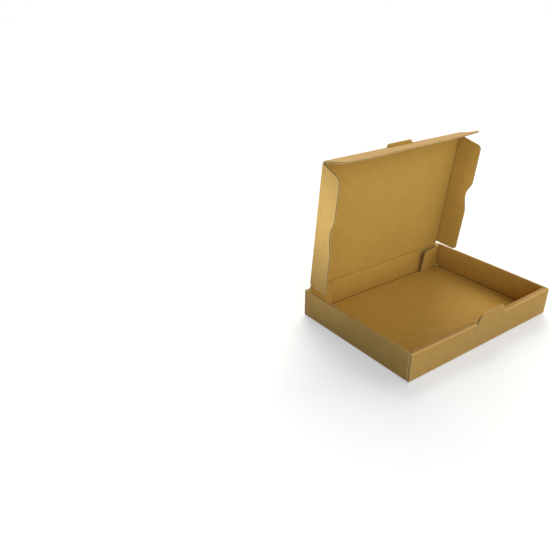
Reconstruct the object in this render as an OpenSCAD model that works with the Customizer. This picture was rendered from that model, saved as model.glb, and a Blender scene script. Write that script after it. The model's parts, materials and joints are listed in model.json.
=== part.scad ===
// Self-locking letter mailer: one die-cut blank of fluted kraft board, folded into a shallow tray
// with a double front wall, and a lid that carries two ears and a tuck flap.
// The origin is the middle of the tray's footprint; +X runs along the front, +Y to the hinge, +Z up.

/* [Board] */
// Thickness of the fluted board
board_t = 1.5; // [1.1:0.1:2]
// Inside radius of a pressed crease
fold_r = 0.4; // [0.2:0.1:0.8]
// Air between two layers of board that lie together
layer_gap = 0.1; // [0.05:0.05:0.3]
// Air at a crease that is free to swing
hinge_gap = 0.25; // [0.1:0.05:0.4]
// Width of a knife cut
slit_w = 0.5; // [0.3:0.1:0.8]

/* [Tray] */
// Clear width between the side walls
inner_w = 160; // [130:1:240]
// Clear depth between the front and rear walls
inner_d = 109; // [85:1:180]
// Height of the front and side walls
wall_h = 23.2; // [20:0.2:40]
// Length of the dust flaps that stand inside the rear wall
rear_dust_len = 25; // [15:1:45]
// Angle by which the right dust flap leans off the rear wall
right_dust_lean = 6; // [0:1:10]
// Angle by which the left dust flap leans off the rear wall
left_dust_lean = 2; // [0:1:10]
// Length of the dust flaps trapped in the double front wall
front_dust_len = 40; // [20:1:55]

/* [Double front wall] */
// Gap between the rolled-over panel and each side wall
rollover_inset = 0.6; // [0.3:0.1:2]
// Length of each foot tab that locks the rolled-over panel to the base
foot_tab_w = 23.5; // [12:0.5:36]
// Distance of each foot tab's middle from the middle of the tray
foot_tab_x = 44.75; // [30:0.25:55]
// Air round a foot tab in its slot
slot_gap = 0.15; // [0.05:0.05:0.3]

/* [Lock tab] */
// Width of the tab at the top of the front wall
lock_tab_w = 32; // [20:0.5:44]
// Height of the tab above the front wall
lock_tab_h = 6.2; // [3:0.2:10]
// Offset of the tab's middle to the right
lock_tab_x = 4.7; // [-8:0.1:8]
// Amount by which each side of the tab leans in at its top
lock_tab_lean = 2.5; // [0.5:0.1:4]
// Radius of the tab's left shoulder
lock_tab_r = 4; // [1:0.5:6]
// Depth of the knife cut that frees the tab's left side
lock_slit_depth = 10.4; // [5:0.2:14]

/* [Lid] */
// Opening of the lid, from 0 when it is shut
lid_open = 84.5; // [0:0.5:180]
// Gap between the shut tuck flap and the front wall
flap_gap = 1.5; // [1:0.1:4]
// Gap between a shut ear and the side wall
ear_gap = 2.75; // [1:0.05:4]
// Width of the small tongue at the lid's front fold
tongue_w = 28; // [15:0.5:40]
// Length of the tongue past the front fold
tongue_len = 2.8; // [1:0.1:3.5]
// Offset of the tongue's middle to the right
tongue_x = 1.8; // [-6:0.1:6]
// Air round the tongue in the window that it leaves in the tuck flap
tongue_gap = 0.4; // [0.2:0.1:1]

/* [Tuck flap] */
// Depth of the tuck flap from its fold
flap_depth = 21.5; // [12:0.5:22]
// Fold of the tuck flap, from 0 when it is flat with the lid
flap_fold = 74; // [0:1:100]
// Amount by which each end of the flap slants in
flap_slant = 0.8; // [0:0.1:6]
// Radius of the flap's outer corners
flap_corner_r = 2.5; // [1:0.5:8]
// Distance of each nick in the free edge from the middle
flap_nick_x = 25; // [10:1:50]
// Depth of each nick
flap_nick_depth = 3; // [1:0.5:6]
// Width of each nick
flap_nick_w = 1.2; // [0.6:0.1:2]

/* [Ears] */
// Width of each ear from its fold
ear_w = 22; // [12:0.5:22]
// Fold of the ears, from 0 when they are flat with the lid
ear_fold = 84; // [0:1:100]
// Set-back of the ear's front end from the lid's front fold
ear_front_set = 1.3; // [1.1:0.1:4]
// Set-back of the ear's rear end from the hinge
ear_rear_set = 3.2; // [2:0.1:8]
// Amount by which the front end slants back
ear_front_slant = 4.2; // [2:0.1:8]
// Amount by which the rear end slants forward
ear_rear_slant = 0.2; // [0:0.1:6]
// Radius of the ear's outer corners
ear_corner_r = 2.5; // [1:0.5:6]
// Distance of the thumb hollow's deepest point from the hinge
hollow_at = 57; // [35:1:75]
// Depth of the thumb hollow
hollow_depth = 4; // [1:0.2:6]
// Length of the hollow's steep side, towards the lid's front
hollow_front_len = 13; // [8:0.5:18]
// Length of the hollow's long side, towards the hinge
hollow_rear_len = 18; // [10:0.5:24]
// Amount by which the ear is narrower behind the hollow
ear_rear_step = 1; // [0:0.1:3]

/* [Hidden] */
$fn = 48;

kraft = [0.74, 0.58, 0.30];
bend_r = fold_r + board_t;
front_t = 3 * board_t + 2 * layer_gap;
tray_w = inner_w + 2 * board_t;
tray_d = inner_d + board_t + front_t;
front_y = -tray_d / 2;
rear_y = tray_d / 2;
inner_front_y = front_y + front_t;
rollover_w = inner_w - 2 * rollover_inset;
// The side walls run straight between the corner bends that lie inside the front and rear walls
side_run = tray_d - 2 * (board_t + layer_gap + bend_r);
foot_z = board_t + layer_gap;

lock_tab_left = lock_tab_x - lock_tab_w / 2;
lock_tab_right = lock_tab_x + lock_tab_w / 2;
// The tab is cut from the rolled-over board, so as much is missing from the inner panel's top
lock_window_drop = max(bend_r, lock_tab_h + bend_r - front_t + board_t);

// The lid turns on the crease along the rear wall's top and shuts just above the side walls
hinge_y = rear_y - board_t / 2;
hinge_z = wall_h + hinge_gap + board_t / 2;
root_gap = board_t / 2 + hinge_gap;
ear_x = inner_w / 2 - ear_gap - board_t / 2;
lid_len = hinge_y - inner_front_y - flap_gap - board_t / 2;
flap_half_w = ear_x - tongue_gap;
tongue_reach = board_t / 2 + tongue_len;
tongue_taper = tongue_len / 2;

// Points of a rounded corner at q, between the corners p and s
function rounded(p, q, s, r, n = 8) =
    let (u = (p - q) / norm(p - q))
    let (v = (s - q) / norm(s - q))
    let (half = acos(u * v) / 2)
    let (centre = q + (u + v) / norm(u + v) * r / sin(half))
    let (from = q + u * r / tan(half) - centre)
    let (to = q + v * r / tan(half) - centre)
    let (start = atan2(from[1], from[0]))
    let (turn = atan2(from[0] * to[1] - from[1] * to[0], from * to))
    [for (i = [0:n]) centre + r * [cos(start + turn * i / n), sin(start + turn * i / n)]];

// Width of an ear at a distance from the hinge: the hollow is two halves of a cosine wave
function ear_width(a) =
    let (ahead = a > hollow_at)
    let (reach = ahead ? hollow_front_len : hollow_rear_len)
    let (full = ahead ? ear_w : ear_w - ear_rear_step)
    let (low = ear_w - hollow_depth)
    let (share = min(1, abs(a - hollow_at) / reach))
    low + (full - low) * (1 - cos(180 * share)) / 2;

// Board lying in the Y-Z plane, as a folded profile along X
module along_x(length) {
    rotate([90, 0, 90]) linear_extrude(length, center = true) children();
}

// Board lying in the X-Z plane, as a folded profile along Y
module along_y(length) {
    rotate([90, 0, 0]) linear_extrude(length, center = true) children();
}

// Section of a quarter-turn crease, in the quadrant that the two signs give
module crease(side_u, side_v) {
    intersection() {
        difference() {
            circle(bend_r);
            circle(fold_r);
        }
        translate([min(0, side_u) * bend_r, min(0, side_v) * bend_r]) square(bend_r);
    }
}

module base_panel() {
    translate([bend_r - tray_w / 2, front_y + bend_r, 0])
        cube([tray_w - 2 * bend_r, tray_d - 2 * bend_r, board_t]);
}

// One side wall folded up from the base, on the right
module side_wall() {
    along_y(side_run) {
        translate([tray_w / 2 - bend_r, bend_r]) crease(1, -1);
        translate([inner_w / 2, bend_r]) square([board_t, wall_h - bend_r]);
    }
}

// The end of a side wall, bent round the corner into a dust flap that leans by some degrees
module dust_flap(length, lean, bottom, top) {
    turn = 90 + lean;
    translate([inner_w / 2 - fold_r, side_run / 2, 0]) {
        translate([0, 0, bottom]) linear_extrude(wall_h - bottom) intersection() {
            difference() {
                circle(bend_r);
                circle(fold_r);
            }
            polygon([[0, 0], for (i = [0:3]) 2 * bend_r * [cos(turn * i / 3), sin(turn * i / 3)]]);
        }
        rotate(lean) translate([-length + fold_r, fold_r, bottom])
            cube([length - fold_r, board_t, top - bottom]);
    }
}

module rear_wall() {
    along_x(tray_w) {
        translate([rear_y - bend_r, bend_r]) crease(1, -1);
        translate([rear_y - board_t, bend_r]) square([board_t, wall_h - bend_r]);
    }
    along_x(2 * ear_x) {
        translate([rear_y - board_t, wall_h - board_t]) square([board_t, hinge_z - wall_h + board_t]);
        translate([hinge_y, hinge_z]) circle(board_t / 2);
    }
}

// Outline of the lock tab, seen from the front
module lock_tab_outline() {
    low_left = [lock_tab_left, wall_h - bend_r];
    top_left = [lock_tab_left + lock_tab_lean, wall_h + lock_tab_h];
    top_right = [lock_tab_right - lock_tab_lean, wall_h + lock_tab_h];
    low_right = [lock_tab_right, wall_h - bend_r];
    polygon(concat([low_left], rounded(low_left, top_left, top_right, lock_tab_r), [top_right, low_right]));
}

// The front panel, rolled over at its top into an inner panel with two foot tabs
module front_wall() {
    along_x(tray_w) {
        translate([front_y + bend_r, bend_r]) crease(-1, -1);
        translate([front_y, bend_r]) square([board_t, wall_h - 2 * bend_r]);
    }
    difference() {
        union() {
            along_x(tray_w) translate([front_y + bend_r, wall_h - bend_r]) crease(-1, 1);
            along_x(rollover_w) {
                translate([front_y + bend_r, wall_h - board_t]) square([front_t - 2 * bend_r, board_t]);
                translate([inner_front_y - bend_r, wall_h - bend_r]) crease(1, 1);
                translate([inner_front_y - board_t, foot_z]) square([board_t, wall_h - bend_r - foot_z]);
            }
        }
        translate([lock_tab_left - slit_w, front_y, wall_h - bend_r])
            cube([lock_tab_w + 2 * slit_w, front_t - board_t, wall_h]);
        translate([lock_tab_left - slit_w, inner_front_y - 2 * board_t, wall_h - lock_window_drop])
            cube([lock_tab_w + 2 * slit_w, 3 * board_t, wall_h]);
    }
    for (side = [-1, 1])
        translate([side * foot_tab_x - foot_tab_w / 2, inner_front_y - board_t, layer_gap])
            cube([foot_tab_w, board_t, board_t + layer_gap]);
}

module tray() {
    color(kraft) difference() {
        union() {
            base_panel();
            rear_wall();
            front_wall();
            translate([0, front_y + board_t / 2, 0]) along_y(board_t) lock_tab_outline();
            for (side = [0, 1]) mirror([side, 0, 0]) {
                side_wall();
                dust_flap(rear_dust_len, side == 0 ? right_dust_lean : left_dust_lean, foot_z, wall_h - layer_gap);
                mirror([0, 1, 0]) dust_flap(front_dust_len, 0, foot_z, wall_h - board_t - layer_gap);
            }
        }
        for (side = [-1, 1])
            translate([side * foot_tab_x, inner_front_y - board_t / 2, 0]) difference() {
                cube([foot_tab_w + 2 * slot_gap, board_t + 2 * slot_gap, 2 * foot_z], center = true);
                cube([foot_tab_w, board_t, 4 * foot_z], center = true);
            }
        translate([lock_tab_left - slit_w, front_y - board_t, wall_h - lock_slit_depth])
            cube([slit_w, 3 * board_t, lock_slit_depth + bend_r]);
    }
}

// Places a piece that is drawn shut, with the hinge as its origin, on the open lid
module on_lid() {
    translate([0, hinge_y, hinge_z]) rotate([-lid_open, 0, 0]) children();
}

// A flat panel of board, centred on the plane of its creases
module panel() {
    linear_extrude(board_t, center = true) children();
}

module lid() {
    color(kraft) on_lid() {
        panel() translate([-ear_x, -lid_len]) square([2 * ear_x, lid_len - root_gap]);
        panel() polygon([
            [tongue_x - tongue_w / 2, -lid_len],
            [tongue_x + tongue_w / 2, -lid_len],
            [tongue_x + tongue_w / 2 - tongue_taper, -lid_len - tongue_reach],
            [tongue_x - tongue_w / 2 + tongue_taper, -lid_len - tongue_reach]
        ]);
        // Rounded creases that the ears and the tuck flap turn on
        translate([-ear_x, -lid_len, 0]) rotate([0, 90, 0]) cylinder(h = 2 * ear_x, d = board_t);
        for (side = [-1, 1]) translate([side * ear_x, -lid_len, 0]) {
            rotate([-90, 0, 0]) cylinder(h = lid_len - root_gap, d = board_t);
            sphere(d = board_t);
        }
    }
}

// Outline of the right ear laid flat, with its fold along Y and the hinge at the origin
module ear_outline() {
    front = lid_len - ear_front_set;
    front_root = [root_gap, -front];
    front_tip = [ear_w, -front + ear_front_slant];
    rear_root = [root_gap, -ear_rear_set];
    rear_tip = [ear_w - ear_rear_step, -ear_rear_set - ear_rear_slant];
    hollow_end = hollow_at + hollow_front_len;
    hollow_run = hollow_front_len + hollow_rear_len;
    steps = 24;
    hollow = [for (i = [0:steps]) let (a = hollow_end - hollow_run * i / steps) [ear_width(a), -a]];
    polygon(concat(
        [front_root],
        rounded(front_root, front_tip, hollow[0], ear_corner_r),
        hollow,
        rounded(hollow[steps], rear_tip, rear_root, ear_corner_r),
        [rear_root]
    ));
}

module right_ear() {
    on_lid() translate([ear_x, 0, 0]) rotate([0, ear_fold, 0]) panel() ear_outline();
}

module lid_right_ear() {
    color(kraft) right_ear();
}

module lid_left_ear() {
    color(kraft) mirror([1, 0, 0]) right_ear();
}

module lid_tuck_flap() {
    root_left = [-flap_half_w, -root_gap];
    tip_left = [-flap_half_w + flap_slant, -flap_depth];
    tip_right = [flap_half_w - flap_slant, -flap_depth];
    root_right = [flap_half_w, -root_gap];
    window_w = tongue_w + 2 * tongue_gap;
    color(kraft) on_lid() translate([0, -lid_len, 0]) rotate([flap_fold, 0, 0]) panel() difference() {
        polygon(concat(
            [root_left],
            rounded(root_left, tip_left, tip_right, flap_corner_r),
            rounded(tip_left, tip_right, root_right, flap_corner_r),
            [root_right]
        ));
        translate([tongue_x - window_w / 2, -tongue_reach - tongue_gap])
            square([window_w, tongue_reach + tongue_gap]);
        for (side = [-1, 1])
            translate([side * flap_nick_x - flap_nick_w / 2, -flap_depth - flap_nick_w])
                square([flap_nick_w, flap_nick_depth + flap_nick_w]);
    }
}

tray();
lid();
lid_left_ear();
lid_right_ear();
lid_tuck_flap();
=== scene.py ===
import json
from math import atan2, cos, exp, hypot, pi, radians, sin, sqrt, tan

import bmesh
import bpy
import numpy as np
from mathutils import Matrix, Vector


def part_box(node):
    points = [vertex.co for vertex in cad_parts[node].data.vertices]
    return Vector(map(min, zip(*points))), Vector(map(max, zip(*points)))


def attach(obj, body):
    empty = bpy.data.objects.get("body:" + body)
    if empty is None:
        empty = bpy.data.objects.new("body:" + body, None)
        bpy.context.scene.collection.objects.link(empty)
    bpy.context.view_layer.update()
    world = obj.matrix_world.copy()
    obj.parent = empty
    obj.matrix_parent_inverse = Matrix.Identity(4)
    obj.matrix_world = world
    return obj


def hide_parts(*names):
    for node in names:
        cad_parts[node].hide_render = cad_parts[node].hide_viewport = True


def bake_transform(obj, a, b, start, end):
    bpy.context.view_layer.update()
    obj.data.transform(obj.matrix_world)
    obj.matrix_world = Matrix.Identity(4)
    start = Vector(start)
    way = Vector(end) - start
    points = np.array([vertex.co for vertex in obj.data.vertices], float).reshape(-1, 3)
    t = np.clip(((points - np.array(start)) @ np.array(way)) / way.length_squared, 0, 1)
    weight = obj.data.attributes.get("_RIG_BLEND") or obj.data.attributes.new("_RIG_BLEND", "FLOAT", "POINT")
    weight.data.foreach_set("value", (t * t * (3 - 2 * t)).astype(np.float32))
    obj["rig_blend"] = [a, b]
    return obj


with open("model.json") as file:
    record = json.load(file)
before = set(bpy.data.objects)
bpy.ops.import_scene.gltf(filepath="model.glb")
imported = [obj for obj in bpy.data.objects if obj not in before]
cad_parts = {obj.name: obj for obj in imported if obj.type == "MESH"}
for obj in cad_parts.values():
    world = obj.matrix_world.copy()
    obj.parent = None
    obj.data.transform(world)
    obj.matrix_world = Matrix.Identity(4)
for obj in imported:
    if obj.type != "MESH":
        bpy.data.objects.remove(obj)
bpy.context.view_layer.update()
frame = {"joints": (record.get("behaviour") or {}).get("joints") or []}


# Base panel
# The middle of the one sheet that the whole mailer is cut and folded from. The sheet is thin fluted
# board, two kraft liners glued to a waved core. Two slots in the base hold the front wall's feet.

MM = 0.001
BOARD_T = 1.5  # thickness of the board
PAPER_T = 0.24  # thickness of each of its papers
SKIN = (BOARD_T - PAPER_T) / 2  # from the middle of the board to the middle of a liner
SWING = SKIN - PAPER_T  # how far the core waves to each side
PITCH = 3.3  # from one flute to the next
FLUTE_STEPS = 8  # points along the wave of one flute
MAP_MM = 100  # millimetres in one unit of the flutes map
OUTER, CORE, INNER, CUT = range(4)  # material slots of the three papers and of their cut edges


def shader_node(tree, kind, sockets, **settings):
    """Adds a node to a tree. Each socket takes a plain value or another node's output."""
    made = tree.nodes.new("ShaderNode" + kind)
    for name, value in settings.items():
        setattr(made, name, value)
    for name, value in sockets.items():
        if isinstance(value, bpy.types.NodeSocket):
            tree.links.new(value, made.inputs[name])
        else:
            made.inputs[name].default_value = value
    return made


def kraft(name, colour, flecks, washboard):
    """Unbleached paper: cloudy pulp, long fibres, dark flecks and a trace of the flutes underneath, with
    painted shade and a paler, partly painted highlight where the mesh marks them.
    """
    material = bpy.data.materials.new(name)
    material.use_nodes = True
    tree = material.node_tree

    def node(kind, sockets, **settings):
        return shader_node(tree, kind, sockets, **settings)

    def mixed(blend, factor, under, over):
        sockets = {"Factor": factor, "A": under, "B": over}
        return node("Mix", sockets, data_type="RGBA", blend_type=blend).outputs["Result"]

    def mark(attribute):
        return node("Attribute", {}, attribute_name=attribute).outputs["Fac"]

    place = node("TexCoord", {}).outputs["Object"]
    flutes = node("UVMap", {}, uv_map="flutes").outputs["UV"]

    clouds = node("TexNoise", {"Vector": place, "Scale": 140, "Detail": 5, "Roughness": 0.62})
    pulp = node("ValToRGB", {"Fac": clouds.outputs["Fac"]})
    for end, position, shade in ((0, 0.3, 0.955), (1, 0.7, 1.04)):
        pulp.color_ramp.elements[end].position = position
        pulp.color_ramp.elements[end].color = tuple(c * shade for c in colour) + (1,)

    stretched = node("Mapping", {"Vector": flutes, "Scale": (60, 420, 1)}).outputs["Vector"]
    fibres = node("TexNoise", {"Vector": stretched, "Scale": 1, "Detail": 3}).outputs["Fac"]
    grain = mixed("OVERLAY", 0.22, pulp.outputs["Color"], fibres)

    specks = node("TexNoise", {"Vector": place, "Scale": 1500, "Detail": 2}).outputs["Fac"]
    rare = node("MapRange", {"Value": specks, "From Min": 0.66, "From Max": 0.78, "To Max": flecks})
    dark = (colour[0] * 0.35, colour[1] * 0.3, colour[2] * 0.28, 1)
    flecked = mixed("MIX", rare.outputs["Result"], grain, dark)

    across = node("SeparateXYZ", {"Vector": flutes}).outputs["X"]
    phase = node("Math", {0: across, 1: 2 * pi * MAP_MM / PITCH}, operation="MULTIPLY").outputs[0]
    wave = node("Math", {0: phase}, operation="SINE").outputs[0]
    depth = 0.032 * washboard
    tint = node("Math", {0: wave, 1: depth, 2: 1 - depth}, operation="MULTIPLY_ADD").outputs[0]
    striped = mixed("MULTIPLY", 1, flecked, tint)

    # Painted shade: darker where the mesh marks it, in the scores of folds and on the front roll's top.
    score_shade = mixed("MULTIPLY", mark("painted_shade"), striped, (0.42, 0.34, 0.28, 1))
    # Paler where the mesh marks a fold: partly stretched paper, partly a painted highlight on the fold's
    # crest.
    pale = tuple(min(1, c * 1.35 + 0.03) for c in colour) + (1,)
    folded_pale = mixed("MIX", mark("strain_and_highlight"), score_shade, pale)

    rough = node("MapRange", {"Value": fibres, "To Min": 0.62, "To Max": 0.86}).outputs["Result"]
    ridges = node("Math", {0: wave, 1: washboard, 2: fibres}, operation="MULTIPLY_ADD").outputs[0]
    bump = node("Bump", {"Height": ridges, "Strength": 0.35, "Distance": 0.00012}).outputs["Normal"]

    bsdf = tree.nodes["Principled BSDF"]
    bsdf.inputs["Specular IOR Level"].default_value = 0.12
    tree.links.new(folded_pale, bsdf.inputs["Base Color"])
    tree.links.new(rough, bsdf.inputs["Roughness"])
    tree.links.new(bump, bsdf.inputs["Normal"])
    return material


outer_liner = kraft("outer_kraft_liner", (0.49, 0.292, 0.086), flecks=0.45, washboard=0.25)
inner_liner = kraft("inner_kraft_liner", (0.58, 0.345, 0.074), flecks=0.45, washboard=0.40)
waved_core = kraft("waved_core_paper", (0.40, 0.25, 0.095), flecks=0.3, washboard=0.0)
cut_edge = kraft("cut_paper_edge", (0.66, 0.46, 0.20), flecks=0.2, washboard=0.0)


def between(low, high, step):
    """Even marks from low to high, about a step apart."""
    count = max(1, round((high - low) / step))
    return [low + (high - low) * i / count for i in range(count + 1)]


def finer(marks):
    """The same marks, with more between them, close enough to follow a flute."""
    found = [marks[0]]
    for low, high in zip(marks, marks[1:]):
        found += between(low, high, step=PITCH / FLUTE_STEPS)[1:]
    return found


def new_sheet():
    """An empty bmesh for board, with its flutes map and two marks for the kraft: painted shade, and a pale
    fold that is partly painted highlight.
    """
    bm = bmesh.new()
    bm.loops.layers.uv.new("flutes")
    bm.verts.layers.float.new("painted_shade")
    bm.verts.layers.float.new("strain_and_highlight")
    return bm


def faces_of(verts):
    return {face for vert in verts for face in vert.link_faces}


def laid_paper(bm, layer, us, vs, at, mapped):
    """Adds one paper to bm: a grid with its crossings (u, v) at the places that at(u, v) gives.

    mapped(u, v) is their place on the flutes map. Both are in millimetres.
    """
    flutes = bm.loops.layers.uv["flutes"]
    grid = bmesh.ops.create_grid(bm, x_segments=len(us) - 1, y_segments=len(vs) - 1, size=0.5)
    crossings = {}
    for vert in grid["verts"]:
        u = us[round((vert.co.x + 0.5) * (len(us) - 1))]
        v = vs[round((vert.co.y + 0.5) * (len(vs) - 1))]
        crossings[vert] = u, v
        vert.co = [c * MM for c in at(u, v)]
    for face in faces_of(crossings):
        face.material_index = layer
        face.smooth = True
        for loop in face.loops:
            loop[flutes].uv = [c / MAP_MM for c in mapped(*crossings[loop.vert])]
    return crossings


FOLD_PALE = 0.7  # how pale the outer liner gets along a fold, partly stretched paper and partly painted highlight
SPAN_SHADE = 0.4  # how dark it gets where it is rubbed


def board(bm, us, vs, at, flutes="v", keep=lambda u, v: True, scores=(), shade_span=(0, 0)):
    """Adds a panel of board to bm: three papers, which at(u, v, w) lays out in millimetres.

    The flutes run along v or u, and keep(u, v) says where the die leaves the board. Along u, scores are
    the stretches that are pressed for a fold, where the inner liner gets painted shade and the outer one a
    paler, partly painted highlight; the last argument is a span where the outer liner gets painted shade.
    """
    painted_shade = bm.verts.layers.float["painted_shade"]
    strain_and_highlight = bm.verts.layers.float["strain_and_highlight"]
    along_v = flutes == "v"

    def score_shade(u):
        """From 0 at the edges of a score to 1 in its middle."""
        inside = [(low, high) for low, high in scores if low < u < high]
        return max((1 - abs(2 * (u - low) / (high - low) - 1) for low, high in inside), default=0)

    for layer, depth, swing in ((OUTER, SKIN, 0), (CORE, 0, SWING), (INNER, -SKIN, 0)):
        columns = finer(us) if layer == CORE and along_v else us
        rows = finer(vs) if layer == CORE and not along_v else vs

        def place(u, v):
            wave = sin(2 * pi * (u if along_v else v) / PITCH)
            return at(u, v, depth + swing * wave)

        def mapped(u, v):
            return (u, v) if along_v else (v, u)

        crossings = laid_paper(bm, layer, columns, rows, place, mapped)
        for vert, (u, v) in crossings.items():
            # Painted shade in the inner liner's scores; on the outer liner a paler fold that is partly
            # painted highlight, and painted shade over the given span.
            if layer == INNER:
                vert[painted_shade] = score_shade(u)
            if layer == OUTER:
                vert[strain_and_highlight] = FOLD_PALE * score_shade(u) ** 3
                vert[painted_shade] = SPAN_SHADE if shade_span[0] < u < shade_span[1] else 0
        cut_out = []
        for face in faces_of(crossings):
            middle = [sum(crossings[vert][k] for vert in face.verts) / len(face.verts) for k in (0, 1)]
            if not keep(*middle):
                cut_out.append(face)
        bmesh.ops.delete(bm, geom=cut_out, context="FACES")


tray_low, tray_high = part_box("tray")
TRAY_W = round((tray_high.x - tray_low.x) / MM, 2)
TRAY_D = round((tray_high.y - tray_low.y) / MM, 2)
FRONT_Y, REAR_Y = -TRAY_D / 2, TRAY_D / 2
BEND = 0.72  # radius of a fold at the middle of the board
OUT_R = BEND + BOARD_T / 2  # radius of a fold outside
PLY_GAP = 0.1  # air between plies that lie against each other
PLY = BOARD_T + PLY_GAP  # one ply with its air
LIP = PLY  # margin of the base that is laid out with each wall
FRONT_T = 3 * BOARD_T + 2 * PLY_GAP  # the front wall's two plies, with a dust flap between them
SIDE_RUN = TRAY_D - 2 * (PLY + OUT_R)  # straight length of a side wall
FOOT_X, FOOT_W = 44.75, 23.5  # middle and width of each foot
SLOT_PLAY = 0.15  # round each foot in its slot

base_half = TRAY_W / 2 - OUT_R - LIP
slot_rear = FRONT_Y + FRONT_T + SLOT_PLAY
slot_half = FOOT_W / 2 + SLOT_PLAY
slot_ends = [side * FOOT_X + half * slot_half for side in (-1, 1) for half in (-1, 1)]

tray = new_sheet()
board(
    tray,
    sorted(between(-SIDE_RUN / 2, SIDE_RUN / 2, step=14) + [slot_rear]),
    sorted(between(-base_half, base_half, step=20) + slot_ends),
    lambda u, v, w: (v, u, BOARD_T / 2 - w),
    keep=lambda u, v: u > slot_rear or abs(abs(v) - FOOT_X) > slot_half,
)


# Side walls and dust flaps
# The sheet's sides, folded up from the base along pressed score lines. The ends of each wall turn in
# as dust flaps: the front ones are trapped in the front wall, and the rear ones spring away a little.

joints = {joint["name"]: joint for joint in frame["joints"]}
HINGE_Y, HINGE_Z = (round(c / MM, 3) for c in joints["lid_hinge"]["pos_m"][1:])
CREASE_GAP = 0.25  # between a panel's edge and the rounded fold of the next
WALL_H = HINGE_Z - BOARD_T / 2 - CREASE_GAP
BEND_STEPS = 6  # rows of points round a fold
SCORE = 0.8  # share of the thickness that is pressed away inside a fold
SPREAD = 0.7  # from a fold to where its pressed line has run out
CRISP = 0.4  # the most by which the outside of a fold stands out towards a sharp corner
QUARTER = BEND * pi / 2  # length of a square fold
TINY = 1e-6  # marks as close as this are the same
BULGE = 0.5  # of the walls, at the middle of their tops
REAR_FLAP, FRONT_FLAP = 25, 40  # lengths of the dust flaps
LEFT_LEAN, RIGHT_LEAN = 2, 6  # degrees by which the rear ones stand past square
TWIST, LEVEL = 0.022, 0.4  # their twist for each degree, about this share of the wall's height
FLAP_ROWS = (8, 15)  # heights of the points between a dust flap's foot and its top


def folded(start, heading, steps):
    """A line of folded board, made of runs in millimetres and turns in degrees.

    Gives the marks where it needs points, and at(s, w), the point at a length s and w to its left.
    """

    def moved(leg, s):
        """The point and heading at a length s on a leg. Its side is 0 on a run."""
        low, high, side, p, q, h = leg
        if side == 0:
            return p + (s - low) * cos(h), q + (s - low) * sin(h), h
        turned = h + side * (s - low) / BEND
        return p + side * BEND * (sin(turned) - sin(h)), q - side * BEND * (cos(turned) - cos(h)), turned

    legs, marks, s = [], [0.0], 0.0
    p, q, h = *start, radians(heading)
    for kind, amount in steps:
        if kind == "turn":
            side = 1 if amount > 0 else -1
            length = BEND * radians(abs(amount))
            marks += [s + length * (i + 1) / BEND_STEPS for i in range(BEND_STEPS)]
        else:
            side, length = 0, amount
            if length > 2 * SPREAD:
                near_ends = (SPREAD / 2, SPREAD, length - SPREAD, length - SPREAD / 2)
                marks += [s + d for d in near_ends]
            marks.append(s + length)
        legs.append((s, s + length, side, p, q, h))
        s += length
        p, q, h = moved(legs[-1], s)

    def outside_of(leg, s):
        """How far a length s is from a leg."""
        return max(0, leg[0] - s, s - leg[1])

    def at(s, w):
        leg = next((leg for leg in legs if s <= leg[1] + TINY), legs[-1])
        low, high, side = leg[:3]
        p, q, h = moved(leg, s)
        fold = min((leg for leg in legs if leg[2]), key=lambda leg: outside_of(leg, s))
        if fold[2] * w > 0:
            # Inside a fold the score has pressed the board thin.
            w *= 1 - SCORE * max(0, 1 - outside_of(fold, s) / SPREAD)
        elif side and w:
            # Outside it the liner stands out towards a sharp corner.
            spare = 1 / cos(min(s - low, high - s) / BEND) - 1
            w *= 1 + min(CRISP, spare * (1 + BEND / abs(w)))
        return p - w * sin(h), q + w * cos(h)

    return sorted(set(marks)), at


def folded_up(edge):
    """The line of a wall that turns up from the base, with its outside at an edge of the tray."""
    start = (edge - OUT_R - LIP, BOARD_T / 2)
    return folded(start, 0, [("run", LIP), ("turn", 90), ("run", WALL_H - OUT_R)])


foot_score = (LIP - SPREAD, LIP + QUARTER + SPREAD)


def side_wall(side):
    """The right wall (1) or the left one (-1), which bulges where nothing holds its top."""
    marks, up_side = folded_up(TRAY_W / 2)

    def on_wall(u, v, w):
        x, z = up_side(u, -w)
        bulge = BULGE * (z / WALL_H) ** 2 * cos(pi * v / SIDE_RUN)
        return side * (x + bulge), v, z

    columns = between(-SIDE_RUN / 2, SIDE_RUN / 2, step=6)
    board(tray, marks, columns, on_wall, flutes="u", scores=[foot_score])


def dust_flap(side, end, length, top, lean):
    """The end of a side wall, at the rear (1) or the front (-1), cut down to a top past its fold."""
    corner = (TRAY_W / 2 - BOARD_T / 2, SIDE_RUN / 2)
    marks, round_end = folded(corner, 90, [("turn", 90 + lean), ("run", length - BEND + BOARD_T / 2)])
    bend_end = BEND * radians(90 + lean)

    def on_dust_flap(u, v, w):
        x, y = round_end(u, -w)
        twist = TWIST * lean * max(0, u - bend_end) * (v / WALL_H - LEVEL)
        return side * x, end * (y - twist), v

    board(
        tray,
        marks,
        [PLY, *FLAP_ROWS, top, WALL_H],
        on_dust_flap,
        keep=lambda u, v: v < top or u < bend_end,
        scores=[(-SPREAD, bend_end + SPREAD)],
    )


for side, rear_lean in ((1, RIGHT_LEAN), (-1, LEFT_LEAN)):
    side_wall(side)
    dust_flap(side, 1, REAR_FLAP, WALL_H - PLY_GAP, rear_lean)
    dust_flap(side, -1, FRONT_FLAP, WALL_H - PLY, 0)


# Rear wall
# The sheet folded up behind the rear dust flaps. Nothing is glued: the crease at its top carries on
# into the lid.

EAR_X = round(joints["right_ear_fold"]["pos_m"][0] / MM, 3)
HELD = 1.0  # how far a crease's papers reach back over the panel that carries it
inner_half = TRAY_W / 2 - OUT_R

marks, up_rear = folded_up(REAR_Y)
board(
    tray,
    marks,
    sorted(between(-TRAY_W / 2, TRAY_W / 2, step=12) + [-EAR_X, EAR_X, -inner_half, inner_half]),
    lambda u, v, w: (v, *up_rear(u, -w)),
    keep=lambda u, v: u > LIP or abs(v) < inner_half,
    scores=[foot_score],
)


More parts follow.
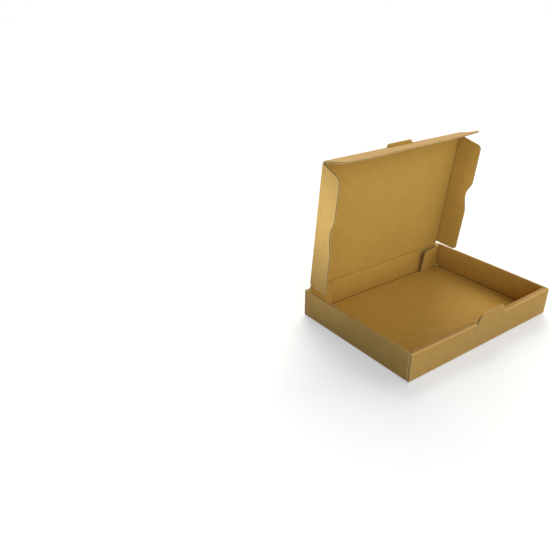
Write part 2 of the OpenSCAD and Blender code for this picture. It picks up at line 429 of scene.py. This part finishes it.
# Front wall
# The sheet folded up, rolled over its own top and down inside, with the front dust flaps trapped
# between its plies. Two feet on the inner ply lock in the base's slots.

TAB_LEFT, TAB_RIGHT = -11.3, 20.7  # ends of the lock tab
SLIT = 0.5  # width of the cuts round the tab
SLIT_DROP = 10.4  # from the top of the wall to the end of the knife cut
WINDOW_DROP = 3.4  # how far the tab's window reaches down the inner ply
ROLL_PLAY = 0.6  # between the roll and each side wall
BELLY = 0.6  # how far the wall stands out at the middle of its top
SINK = 0.5  # by what share of that the top comes down
LOW_ROW = 5  # a row of points low on the wall

marks, over_front = folded(
    (FRONT_Y + OUT_R + LIP, BOARD_T / 2), 180,
    [
        ("run", LIP), ("turn", -90), ("run", WALL_H - 2 * OUT_R),
        ("turn", -90), ("run", FRONT_T - 2 * OUT_R),
        ("turn", -90), ("run", WALL_H - OUT_R - PLY),
    ],
)
wall_start = LIP + QUARTER
roll_start = wall_start + WALL_H - 2 * OUT_R
roll_end = roll_start + QUARTER
inner_top = roll_end + FRONT_T - 2 * OUT_R + QUARTER
window_foot = inner_top + WINDOW_DROP
slit_start = wall_start + WALL_H - SLIT_DROP - OUT_R
window_left, window_right = TAB_LEFT - SLIT, TAB_RIGHT + SLIT
roll_half = TRAY_W / 2 - BOARD_T - ROLL_PLAY


def belly(x, z):
    """How far the front wall stands out at a place."""
    return BELLY * (1 - (2 * x / TRAY_W) ** 2) * z / WALL_H


def on_front(u, v, w):
    y, z = over_front(u, w)
    out = belly(v, z)
    return v, y - out, z - SINK * out * z / WALL_H


def left_in_front(u, v):
    """Whether the die leaves the board here."""
    in_window = roll_start < u < window_foot and window_left < v < window_right
    in_slit = slit_start < u < roll_start and window_left < v < TAB_LEFT
    beside_roll = u > roll_end and abs(v) > roll_half
    beside_base = u < LIP and abs(v) > inner_half
    return not (in_window or in_slit or beside_roll or beside_base)


ends = [-roll_half, roll_half, window_left, TAB_LEFT, window_right, -inner_half, inner_half]
board(
    tray,
    sorted(marks + [window_foot, slit_start, wall_start + LOW_ROW]),
    sorted(between(-TRAY_W / 2, TRAY_W / 2, step=9) + ends),
    on_front,
    keep=left_in_front,
    scores=[(LIP - SPREAD, wall_start + SPREAD), (roll_start - SPREAD, roll_end + SPREAD)],
    # Painted shade on the outer liner over the roll's top.
    shade_span=(roll_end - QUARTER / 4, inner_top + SPREAD),
)

for side in (-1, 1):
    board(
        tray,
        between(PLY_GAP, PLY, step=1),
        between(side * FOOT_X - FOOT_W / 2, side * FOOT_X + FOOT_W / 2, step=12),
        lambda u, v, w: (v, FRONT_Y + FRONT_T - BOARD_T / 2 + w, u),
    )


# Lock tab
# A tongue that is cut out of the roll-over and stays standing in the outer ply's plane, where it
# holds the shut lid. It is part of the same sheet, with one round shoulder and a knife cut on its left.

TAB_W = TAB_RIGHT - TAB_LEFT
TAB_LEAN = 2.5  # how far each side slants in
TAB_H = 6.2  # above the wall
TAB_R = 4.0  # of the round shoulder
CRUSH, CRUSH_REACH = 0.45, 1.2  # share of the thickness lost at a cut edge, and how far in
SHARP = 40  # degrees past which an edge of paper isn't smoothed
tab_low, tab_top = WALL_H - OUT_R, WALL_H + TAB_H


def crushed(w, left):
    """The board's thickness near an edge that the die has cut along the flutes."""
    return w * (1 - CRUSH * max(0, 1 - left / CRUSH_REACH))


def on_tab(u, v, w):
    w = crushed(w, tab_top - u)
    rise = (u - tab_low) / (tab_top - tab_low)
    past = max(0, u - (tab_top - TAB_R))
    left = TAB_LEFT + TAB_LEAN * rise + TAB_R - sqrt(TAB_R ** 2 - past ** 2)
    right = TAB_RIGHT - TAB_LEAN * rise
    x = left + (right - left) * v / TAB_W
    return x, FRONT_Y + BOARD_T / 2 - w - belly(x, u), u - SINK * belly(x, WALL_H)


def thickened(bm, name):
    """Gives the papers in bm their thickness and makes them one piece."""
    flat = bpy.data.meshes.new(name)
    bm.to_mesh(flat)
    bm.free()
    for material in (outer_liner, waved_core, inner_liner, cut_edge):
        flat.materials.append(material)
    piece = bpy.data.objects.new(name, flat)
    bpy.context.scene.collection.objects.link(piece)
    paper = piece.modifiers.new("paper", "SOLIDIFY")
    paper.thickness = PAPER_T * MM
    paper.offset = 0
    paper.material_offset_rim = CUT
    bpy.context.view_layer.update()
    done = bpy.data.meshes.new_from_object(piece.evaluated_get(bpy.context.evaluated_depsgraph_get()))
    piece.modifiers.clear()
    piece.data = done
    bpy.data.meshes.remove(flat)
    done.name = name
    done.set_sharp_from_angle(angle=radians(SHARP))
    return piece


def glued_up(bm, name, body, node):
    """Puts a finished board on its body, in place of the plain solid."""
    piece = thickened(bm, name)
    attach(piece, body)
    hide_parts(node)


board(tray, between(tab_low, tab_top, step=0.7), between(0, TAB_W, step=4), on_tab)
glued_up(tray, "tray_board", "tray", "tray")


# Lid
# The upper half of the same sheet, hinged on the crease along the rear wall's top. A short tongue
# stays in the lid's plane at the front, where the tuck flap is cut free of it.

OPEN = -radians(joints["lid_hinge"]["range_deg"][0])
flap_y, flap_z = (c / MM for c in joints["tuck_flap_fold"]["pos_m"][1:])
LID_LEN = round(hypot(flap_y - HINGE_Y, flap_z - HINGE_Z), 2)
ROOT = BOARD_T / 2 + CREASE_GAP  # from a fold to where the next panel lies flat
TONGUE_W, TONGUE_X = 28.0, 1.8  # width and middle of the tongue
TONGUE_OUT = 2.8  # how far it stands out past the fold
TONGUE_LEN = BOARD_T / 2 + TONGUE_OUT
TONGUE_TAPER = 1.4  # how far each side slants in


def on_lid(x, y, z):
    """A point of the shut lid, from the middle of its hinge, where it stands on the open box."""
    return x, HINGE_Y + y * cos(OPEN) + z * sin(OPEN), HINGE_Z - y * sin(OPEN) + z * cos(OPEN)


def on_tongue(u, v, w):
    w = crushed(w, LID_LEN + TONGUE_LEN - u)
    narrow = TONGUE_TAPER * max(0, u - LID_LEN) / TONGUE_LEN
    return on_lid(TONGUE_X + v * (1 - 2 * narrow / TONGUE_W), -u, w)


lid = new_sheet()
board(
    lid,
    between(ROOT, LID_LEN - HELD, step=8),
    between(HELD - EAR_X, EAR_X - HELD, step=9),
    lambda u, v, w: on_lid(v, -u, w),
)
board(
    lid,
    [LID_LEN - HELD] + between(LID_LEN, LID_LEN + TONGUE_LEN, step=0.9),
    between(-TONGUE_W / 2, TONGUE_W / 2, step=4),
    on_tongue,
)
glued_up(lid, "lid_board", "lid", "lid")


# Ears
# A flap along each side of the lid, with a thumb hollow in its free edge. Their flutes run out from
# the fold, so the whole free edge shows the open ends of the core.

EAR_FOLD = -radians(joints["left_ear_fold"]["range_deg"][0])
EAR_W, EAR_REAR_W = 22.0, 21.0  # ahead of the hollow and behind it
EAR_SHORT = 1.3  # from its front end to the lid's front fold
EAR_FRONT, EAR_REAR = LID_LEN - EAR_SHORT, 3.2  # its ends, from the hinge
EAR_SLANT = 4.2  # how far the front end slants back
EAR_R, EAR_REAR_R = 4.0, 2.5  # corners
EAR_CURL = 0.5  # how far the middle of its free edge stands out
HOLLOW_AT, HOLLOW_W = 57.0, 18.0  # the hollow's place from the hinge, and the width left there
HOLLOW_AHEAD, HOLLOW_BEHIND = 13, 18  # how far it reaches each way
LEAST = 0.01  # width of the ear at its very ends

front_end = hypot(EAR_SLANT, EAR_W - ROOT)
round_start = EAR_FRONT - EAR_SLANT - EAR_R * (front_end - EAR_SLANT) / (EAR_W - ROOT)
round_stop = round_start + EAR_R * (EAR_W - ROOT) / front_end


def ear_width(a):
    """How far the ear reaches from its fold, at a distance from the hinge."""
    full, reach = (EAR_W, HOLLOW_AHEAD) if a > HOLLOW_AT else (EAR_REAR_W, HOLLOW_BEHIND)
    share = min(1, abs(a - HOLLOW_AT) / reach)
    width = HOLLOW_W + (full - HOLLOW_W) * (1 - cos(pi * share)) / 2
    if a > round_stop:
        width = ROOT + (EAR_W - ROOT) * (EAR_FRONT - a) / EAR_SLANT
    elif a > round_start:
        width = EAR_W - EAR_R + sqrt(EAR_R ** 2 - (a - round_start) ** 2)
    short = max(0, EAR_REAR + EAR_REAR_R - a)
    width -= EAR_REAR_R - sqrt(max(0, EAR_REAR_R ** 2 - short ** 2))
    return max(ROOT + LEAST, width)


def ear(side, name):
    """The left ear (-1) or the right one (1), turned down from the lid."""

    def on_ear(u, v, w):
        b = ROOT + (ear_width(u) - ROOT) * v / EAR_W
        curl = w + EAR_CURL * (b / EAR_W) ** 2 * sin(pi * u / LID_LEN)
        x = b * cos(EAR_FOLD) + curl * sin(EAR_FOLD)
        z = -b * sin(EAR_FOLD) + curl * cos(EAR_FOLD)
        return on_lid(side * (EAR_X + x), -u, z)

    sheet = new_sheet()
    along = between(EAR_REAR, round_start, step=1.1) + between(round_start, EAR_FRONT, step=0.35)[1:]
    board(sheet, along, between(0, EAR_W, step=5.5), on_ear)
    glued_up(sheet, "lid_" + name + "_board", name, "lid_" + name)


ear(-1, "left_ear")
ear(1, "right_ear")


# Tuck flap
# The flap that folds in behind the front wall. The tongue leaves a window at its root, and two small
# nicks are cut into its free edge.

FLAP_FOLD = radians(74)
FLAP_SHORT = 0.4  # from each end to the ear's fold
FLAP_DEPTH, FLAP_HALF = 21.5, EAR_X - FLAP_SHORT
FLAP_SLANT, FLAP_R = 0.8, 2.5  # of its ends, and of its corners
NICK_X, NICK_W, NICK_DEPTH = 25.0, 1.2, 3.0
WINDOW_PLAY = 0.4  # round the tongue
LIFT = 1.8  # how far the free edge curls up at the right corner
DIP, DIP_X, DIP_W = 0.7, -45, 22  # the dent on its left, with its middle and reach


def on_flap(u, v, w):
    w = crushed(w, FLAP_DEPTH - u)
    past = max(0, u - (FLAP_DEPTH - FLAP_R))
    half = FLAP_HALF - FLAP_SLANT * u / FLAP_DEPTH - (FLAP_R - sqrt(max(0, FLAP_R ** 2 - past ** 2)))
    x = v * half / FLAP_HALF
    lift = LIFT * max(0, x / FLAP_HALF) ** 3 - DIP * exp(-((x - DIP_X) / DIP_W) ** 2)
    curl = w + lift * (u / FLAP_DEPTH) ** 2
    y = -u * cos(FLAP_FOLD) - curl * sin(FLAP_FOLD)
    z = -u * sin(FLAP_FOLD) + curl * cos(FLAP_FOLD)
    return on_lid(x, y - LID_LEN, z)


window_end = TONGUE_LEN + WINDOW_PLAY
window = (TONGUE_X - TONGUE_W / 2 - WINDOW_PLAY, TONGUE_X + TONGUE_W / 2 + WINDOW_PLAY)
nick_sides = [side * NICK_X + half * NICK_W / 2 for side in (-1, 1) for half in (-1, 1)]
round_from = FLAP_DEPTH - FLAP_R


def left_in_flap(u, v):
    """Whether the die leaves the board here."""
    in_window = u < window_end and window[0] < v < window[1]
    in_nick = u > FLAP_DEPTH - NICK_DEPTH and abs(abs(v) - NICK_X) < NICK_W / 2
    return not (in_window or in_nick)


flap = new_sheet()
rows = between(ROOT, round_from, step=3) + between(round_from, FLAP_DEPTH, step=0.4)[1:]
board(
    flap,
    sorted(rows + [window_end]),
    sorted(between(-FLAP_HALF, FLAP_HALF, step=8) + list(window) + nick_sides),
    on_flap,
    keep=left_in_flap,
)
glued_up(flap, "lid_tuck_flap_board", "tuck_flap", "lid_tuck_flap")


# Creases
# Where a moving panel meets its neighbour, the two liners bend round the scored line and hold on.
# Each crease is a strip of both papers that turns with the fold.

NEARLY_FLAT = radians(30)  # a smaller fold is only dented by its score
ARC_STEPS = 8
PALE_ARC = range(2, 7)  # points of the arc where the paper is paler, partly stretched and partly painted highlight
CREASE_PALE = 0.6
DENT = 0.4  # half the width of the dent
DENT_LEFT, DENT_SHADE = 0.7, 0.6  # the outer paper's depth in the dent, and the painted shade in it
SCORE_LEFT = 0.2  # the inner paper's depth in the score
POINT_MM = 0.3  # between two points of the line, on the flutes map


def crease_lines(turn, far):
    """The outer and the inner paper across a fold, as points (p, q, painted shade, paleness that is partly
    painted highlight).
    """
    start_out, start_in = (-HELD, SKIN, 0, 0), (-HELD, -SKIN, 0, 0)
    end_out = (far[0] + SKIN * sin(turn), far[1] + SKIN * cos(turn), 0, 0)
    end_in = (far[0] - SKIN * sin(turn), far[1] - SKIN * cos(turn), 0, 0)
    # The inner paper's score point gets full painted shade.
    score = (-SCORE_LEFT * SKIN * tan(turn / 2), -SCORE_LEFT * SKIN, 1, 0)
    if turn < NEARLY_FLAT:
        # A shallow fold's dent in the outer paper gets painted shade too.
        dent = (0, DENT_LEFT * SKIN, DENT_SHADE, 0)
        outside = [start_out, (-DENT, SKIN, 0, 0), dent, (DENT, SKIN, 0, 0), end_out]
        inside = [start_in, (-DENT, -SKIN, 0, 0), score, (DENT, -SKIN, 0, 0), end_in]
        return outside, inside
    arc = []
    for i in range(ARC_STEPS + 1):
        angle = turn * i / ARC_STEPS
        arc.append((SKIN * sin(angle), SKIN * cos(angle), 0, CREASE_PALE if i in PALE_ARC else 0))
    return [start_out, *arc, end_out], [start_in, score, end_in]


def crease(name, bodies, turn, stretches, at):
    """Strips of both liners from one panel round a fold to the next, laid out by at(p, q, v)."""
    strip = new_sheet()
    painted_shade = strip.verts.layers.float["painted_shade"]
    strain_and_highlight = strip.verts.layers.float["strain_and_highlight"]
    far = (ROOT * cos(turn), -ROOT * sin(turn))
    for layer, line in zip((OUTER, INNER), crease_lines(turn, far)):
        for low, high in stretches:
            crossings = laid_paper(
                strip,
                layer,
                range(len(line)),
                between(low, high, step=12),
                lambda i, v: at(*line[i][:2], v),
                lambda i, v: (POINT_MM * i, v),
            )
            for vert, (i, v) in crossings.items():
                # Each point's painted shade, and its pale fold that is partly painted highlight.
                vert[painted_shade], vert[strain_and_highlight] = line[i][2:]
    middle = (stretches[0][0] + stretches[-1][1]) / 2
    start = [c * MM for c in at(-HELD, 0, middle)]
    end = [c * MM for c in at(*far, middle)]
    piece = thickened(strip, name)
    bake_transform(piece, *bodies, start=start, end=end)


crease(
    "lid_hinge_crease", ("tray", "lid"), pi / 2 - OPEN, [(-EAR_X, EAR_X)],
    lambda p, q, v: (v, HINGE_Y + q, HINGE_Z + p),
)
for side, name in ((-1, "left_ear"), (1, "right_ear")):
    crease(
        name + "_crease", ("lid", name), EAR_FOLD, [(EAR_REAR, EAR_FRONT)],
        lambda p, q, v: on_lid(side * (EAR_X + p), -v, q),
    )
crease(
    "tuck_flap_crease", ("lid", "tuck_flap"), FLAP_FOLD,
    [(-FLAP_HALF, window[0]), (window[1], FLAP_HALF)],
    lambda p, q, v: on_lid(v, -LID_LEN - p, q),
)


# Floor and light
# A white table top that keeps the box's soft shadow. A warm key stands behind on the right, with
# weaker lamps on the right, a cooler fill at the front left and a small soft spot on the left ear.

FLOOR_GAP = 0.0002  # under the box, so that its base and the floor don't share a plane
FLOOR_GLOW = 0.40  # what the camera sees beside the lamps' light, so that the floor comes out white

scene = bpy.context.scene
scene.view_settings.view_transform = "Standard"

top = bmesh.new()
bmesh.ops.create_grid(top, x_segments=1, y_segments=1, size=4)
floor_mesh = bpy.data.meshes.new("floor")
top.to_mesh(floor_mesh)
top.free()
floor = bpy.data.objects.new("floor", floor_mesh)
floor.location.z = -FLOOR_GAP
scene.collection.objects.link(floor)
white = bpy.data.materials.new("white_table_top")
white.use_nodes = True
rays = shader_node(white.node_tree, "LightPath", {}).outputs["Is Camera Ray"]
seen = shader_node(white.node_tree, "Math", {0: rays, 1: FLOOR_GLOW}, operation="MULTIPLY")
paint = white.node_tree.nodes["Principled BSDF"]
paint.inputs["Base Color"].default_value = (0.64, 0.655, 0.70, 1)
paint.inputs["Roughness"].default_value = 0.9
paint.inputs["Emission Color"].default_value = (1, 1, 1, 1)
white.node_tree.links.new(seen.outputs[0], paint.inputs["Emission Strength"])
floor_mesh.materials.append(white)

world = bpy.data.worlds.new("studio")
scene.world = world
world.use_nodes = True
rays = shader_node(world.node_tree, "LightPath", {}).outputs["Is Camera Ray"]
level = shader_node(world.node_tree, "MapRange", {"Value": rays, "To Min": 0.12, "To Max": 1.0})
sky = world.node_tree.nodes["Background"]
sky.inputs["Color"].default_value = (1, 1, 1, 1)
world.node_tree.links.new(level.outputs["Result"], sky.inputs["Strength"])


def hung(light, towards, strength, colour):
    """Puts a light in the scene, turned so that it shines from a direction."""
    x, y, z = towards
    light.energy = strength
    light.color = colour
    holder = bpy.data.objects.new(light.name, light)
    holder.rotation_euler = (atan2(hypot(x, y), z), 0, atan2(x, -y))
    scene.collection.objects.link(holder)
    return holder


def lamp(name, towards, strength, colour, spread):
    """A wide, soft lamp far away, so that the table top is lit evenly."""
    light = bpy.data.lights.new(name, "SUN")
    light.angle = radians(spread)
    hung(light, towards, strength, colour)


lamp("key", (0.5, 0.6, 0.55), strength=3.2, colour=(1.0, 0.94, 0.82), spread=50)
lamp("side", (0.9, 0.0, 0.45), strength=1.1, colour=(1.0, 0.94, 0.80), spread=60)
lamp("front", (0.5, -0.8, 0.4), strength=1.0, colour=(1.0, 0.93, 0.78), spread=60)
lamp("fill", (-0.55, -0.78, 0.3), strength=1.4, colour=(0.70, 0.86, 1.0), spread=60)

SPOT_PLACE = (-0.45, 0.045, 0.055)
SPOT_TARGET = (-0.079, 0.042, 0.093)
spot = bpy.data.lights.new("ear_light", "SPOT")
spot.spot_size = radians(20)
spot.spot_blend = 0.9
spot.shadow_soft_size = 0.04
spot_from = [place - target for place, target in zip(SPOT_PLACE, SPOT_TARGET)]
spot_holder = hung(spot, spot_from, strength=6.2, colour=(0.88, 0.97, 1.0))
spot_holder.location = SPOT_PLACE


# Camera
# The photograph's view, from the front left and above, with the box to the right of the middle.
# Its place and turn were solved from the corners of the box.

PHOTO_PX = 550  # width of the photograph
FOCAL_PX = 588.43  # focal length, in its pixels
LOOK_DOWN, LOOK_RIGHT = 26.677, 35.92  # degrees below level, and to the right of straight back

lens = bpy.data.cameras.new("camera")
lens.sensor_width = 36
lens.lens = FOCAL_PX * lens.sensor_width / PHOTO_PX
lens.clip_start = 0.01
camera = bpy.data.objects.new("camera", lens)
camera.location = (-0.34953, -0.27041, 0.24918)
camera.rotation_euler = (radians(90 - LOOK_DOWN), 0, radians(-LOOK_RIGHT))
scene.collection.objects.link(camera)
scene.camera = camera
